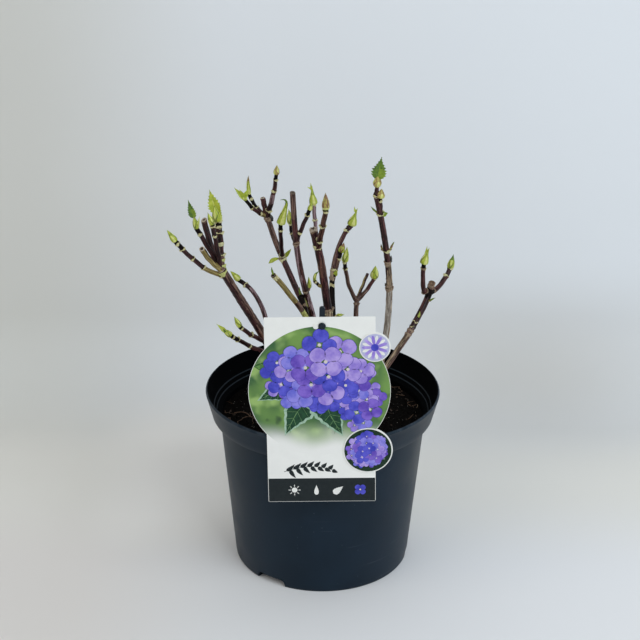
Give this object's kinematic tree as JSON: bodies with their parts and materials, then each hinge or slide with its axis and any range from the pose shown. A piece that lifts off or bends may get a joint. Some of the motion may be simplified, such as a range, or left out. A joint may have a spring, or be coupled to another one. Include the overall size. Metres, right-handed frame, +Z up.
{
  "type": "hydrangea shrub",
  "caption": "Young pruned hydrangea in a black nursery pot with compost, bare canes, opening leaf buds and a plain picture label on a stake.",
  "frame": {"origin": "middle of the pot's flat underside", "axes": "+Z up; the label faces -Y, and +X is to the right when looking at it"},
  "size_m": [0.2685, 0.229, 0.435],
  "materials": {
    "pot_plastic": "black moulded polypropylene, satin, dusty",
    "compost": "moist dark peat and bark crumbs",
    "label_card": "white printed sheet, satin",
    "stake_plastic": "dark moulded plastic",
    "cane_wood": "purple-brown bark, tan and peeling on old wood",
    "shoots": "dark young bark with pale leaf scars and lime-green buds"
  },
  "bodies": {
    "root": {"pot": "pot_plastic", "soil": "compost", "label_card": "label_card", "label_stake": "stake_plastic", "cane_far_left": "cane_wood", "cane_front": "cane_wood", "cane_middle": "cane_wood", "cane_back_right": "cane_wood", "cane_short": "cane_wood", "cane_tall_right": "cane_wood", "bough_back_left": "cane_wood", "bough_far_right": "cane_wood", "stub_olive": "cane_wood", "head_far_left": "shoots", "head_back_left": "shoots", "head_front": "shoots", "head_middle": "shoots", "head_back_right": "shoots", "head_short": "shoots", "head_tall_right": "shoots", "head_far_right": "shoots", "shoot_arching": "shoots", "shoot_low_inner": "shoots", "shoot_low_outer": "shoots", "twig_front_left": "shoots", "twig_front_right": "shoots", "twig_back_right": "shoots"}
  },
  "joints": []
}
